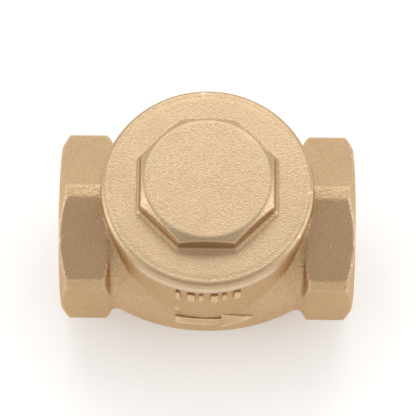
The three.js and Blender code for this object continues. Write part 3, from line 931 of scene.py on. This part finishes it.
def clapperArm(v):
    back = span("clapper_arm", "x")[1]
    front, hubHalf = back - v["eyeDepth"], v["hubHalf"]
    eye = prism("eye", 64, v["eye"], front, back, "X", seatAxis)
    hub = prism("hub", 64, v["hub"], -hubHalf, hubHalf, "Y", pinAxis)
    outline = [(front, seatZ), (back, seatZ), (back, pinZ - v["heel"]),
               (pinX + v["shoulder"][0], pinZ + v["shoulder"][1]), (pinX, pinZ), (front, pinZ - v["brow"])]
    web = pushOut("web", [(x, -v["width"] / 2, z) for x, z in outline], v["width"])
    arm = fuse([eye, hub, web], "arm")
    remesh(arm, v["voxel"])
    soften(arm, 3)
    finishWith(arm, castSkin)
    flatTop, hubEnd = seatZ + v["flat"], hubHalf - v["hubTrim"]
    eyeTools = (prism("eye hole", 64, v["eyeHole"], front - 1, back + 1, "X", seatAxis),
                block("eye back", (back - v["backTrim"], -6, seatZ - 6), (back + 2, 6, flatTop)),
                block("eye front", (front - 2, -6, seatZ - 6), (front + v["frontTrim"], 6, flatTop)))
    hubTools = (prism("pin hole", 48, v["pinHole"], -8, 8, "Y", pinAxis),
                block("hub left", (pinX - 3, -9, pinZ - 3), (pinX + 3, -hubEnd, pinZ + 3)),
                block("hub right", (pinX - 3, hubEnd, pinZ - 3), (pinX + 3, 9, pinZ + 3)))
    for finish, tools in ((machinedDisc, eyeTools), (machinedPin, hubTools)):
        for tool in tools:
            cut(arm, finishWith(tool, finish))
    smoothShade(arm, 32)
    return deliver(arm, "clapper_arm", "clapper")


clapperArm(lever)
say("clapper arm")


# the disc, its rubber facing and what holds them to the arm
seal = {
    "facing": (2.2, 8.4), "seatPrint": (7.55, 8.3, 0.18), "disc": 8.9, "plate": 2.0, "lip": 0.8, "stud": 2.56,
    "studRoot": 2.14, "studPitch": 0.8, "threadStart": -1.2, "pad": (4.3, 4.6), "cross": 0.55,
    "head": (3.3, 1.4), "shank": (1.55, 1.88, 0.7), "slot": (0.9, 0.8), "nut": 8.0, "nutThread": (2.26, 2.66),
    "rings": (("facing_washer", (2.2, 5.0), 0.15), ("disc_washer", (2.75, 4.4), 0.12)),
}


def discRing(profile, material, node):
    ring = turn(node, profile, "X", seatAxis, 128)
    smoothShade(finishWith(ring, material), 40)
    return deliver(ring, node, "disc_assembly")


def discFacing(v):
    low, high = span("disc_facing", "x")
    inner, outer = v["facing"]
    printIn, printOut, depth = v["seatPrint"]  # the ring that the seat has pressed into the rubber
    profile = [(inner, low + 0.1), (inner + 0.1, low), (printIn - 0.15, low), (printIn, low + depth),
               (printOut, low + depth), (outer, low + depth + 0.1), (outer, high - 0.25),
               (outer - 0.25, high), (inner + 0.1, high), (inner, high - 0.1), (inner, low + 0.1)]
    return discRing(profile, rubber, "disc_facing")


def clapperDisc(v):
    front, studEnd = span("clapper_disc", "x")
    face = front + v["lip"]
    back = face + v["plate"]
    inner, disc, stud = v["facing"][1] + 0.05, v["disc"], v["stud"]
    start, root = v["threadStart"], v["studRoot"]
    padTop, padFoot = v["pad"]  # a low machined pad that the arm's eye bears on
    plate = turn("disc", [(0, face), (inner, face), (inner, front + 0.15), (inner + 0.15, front),
                          (disc - 0.2, front), (disc, front + 0.2), (disc, back - 0.6), (disc - 0.6, back),
                          (padFoot, back), (padTop, back + 0.1), (stud + 0.3, back + 0.1), (stud, back + 0.4),
                          (stud, start - 0.3), (root - 0.05, start + 0.1), (root - 0.05, start + 0.6),
                          (0, start + 0.6)], "X", seatAxis, 128)
    thread = threadedCore("stud thread", root, stud, v["studPitch"], start + 0.2, studEnd + 0.2,
                          "X", seatAxis, 48)
    end = turn("stud end", [(0, start - 1), (4, start - 1), (4, studEnd - 1.6), (root - 0.15, studEnd),
                            (0.5, studEnd), (0, studEnd - 0.35)], "X", seatAxis, 64)
    cut(thread, end, "INTERSECT")
    cut(plate, thread, "UNION")
    minor, major, pitch = v["shank"]
    hole = threadedCore("screw hole", minor + 0.1, major + 0.12, pitch, face - 1, face + 3.2,
                        "X", seatAxis, 40)
    cut(plate, hole)
    cut(plate, prism("cross hole", 32, v["cross"], -4, 4, "Y", (splitX, 0, seatZ)))
    smoothShade(finishWith(plate, machinedDisc), 30)
    return deliver(plate, "clapper_disc", "disc_assembly")


def facingScrew(v):
    low, high = span("facing_screw", "x")
    radius, height = v["head"]
    minor, major, pitch = v["shank"]
    under = low + height
    head = turn("screw head", [(0, low), (radius - 0.7, low), (radius - 0.2, low + 0.25), (radius, low + 0.6),
                               (radius, under - 0.1), (radius - 0.1, under), (minor, under),
                               (minor, under + 1.2), (0, under + 1.2)], "X", seatAxis, 96)
    shank = threadedCore("screw thread", minor, major, pitch, under + 0.9, high, "X", seatAxis, 40)
    cut(head, shank, "UNION")
    wide, deep = v["slot"]
    cut(head, block("slot", (low - 1, -6, seatZ - wide / 2), (low + deep, 6, seatZ + wide / 2)))
    smoothShade(finishWith(head, machinedDisc), 30)
    return deliver(head, "facing_screw", "disc_assembly")


def discNut(v):
    low, high = span("disc_nut", "x")
    corner = v["nut"] / 2 / math.cos(math.pi / 6)
    nut = prism("nut", 6, corner, low, high, "X", seatAxis)
    crown = turn("nut crown", [(0, low), (corner - 0.45, low), (corner + 0.2, low + 0.38),
                               (corner + 0.2, high - 0.45), (v["nut"] / 2 - 0.1, high), (0, high)],
                 "X", seatAxis, 96)
    cut(nut, crown, "INTERSECT")
    bevelEdges(nut, 0.08)
    crest, root = v["nutThread"]
    cut(nut, threadedCore("nut thread", crest, root, v["studPitch"], low - 0.5, high + 0.5,
                          "X", seatAxis, 48))
    for at, way in ((low, 1), (high, -1)):
        mouth = turn("mouth", [(0, at - way), (root + 1.1, at - way), (crest, at + 0.45 * way),
                               (0, at + 0.45 * way)], "X", seatAxis, 64)
        cut(nut, mouth)
    smoothShade(finishWith(nut, machinedDisc), 30)
    return deliver(nut, "disc_nut", "disc_assembly")


# one wire folded back on itself, with an eye at one end and its legs spread at the other
wirePin = {"thick": 0.21, "eye": 1.02, "eyeGap": 60, "neck": 1.6, "eyePoints": 15,
           "lowLeg": ((0.1, -0.62), (0.8, -0.3)), "highLeg": ((0.6, 0.32), (0.0, 0.7))}


def splitPin(v):
    low, high = span("disc_split_pin", "y")
    thick, eye = v["thick"], v["eye"]
    middle = high - 0.02 - eye - thick
    sweep = 360 - v["eyeGap"]
    spots = [(low + y, z) for y, z in v["lowLeg"]] + [(low + 1.5, -thick), (middle - v["neck"], -thick)]
    for k in range(v["eyePoints"]):
        angle = math.radians(-sweep / 2 + sweep * k / (v["eyePoints"] - 1))
        spots.append((middle + eye * math.cos(angle), eye * math.sin(angle)))
    spots += [(middle - v["neck"], thick), (low + 1.3, thick)] + [(low + y, z) for y, z in v["highLeg"]]
    wire = drawLine("split pin", [Vector((splitX, y, seatZ + z)) * mm for y, z in spots])
    bpy.ops.object.mode_set(mode="OBJECT")
    activate(wire)
    bpy.ops.object.convert(target="CURVE")
    wire = bpy.context.object
    wire.data.bevel_depth = thick * mm
    wire.data.bevel_resolution = 5
    wire.data.use_fill_caps = True
    bpy.ops.object.convert(target="MESH")
    wire = bpy.context.object
    smoothShade(finishWith(wire, machinedDisc), 50)
    return deliver(wire, "disc_split_pin", "disc_assembly")


discFacing(seal)
clapperDisc(seal)
facingScrew(seal)
discNut(seal)
splitPin(wirePin)
for washer, radii, soft in seal["rings"]:
    discRing(ringProfile(*radii, *span(washer, "x"), soft), machinedDisc, washer)
say("disc assembly")
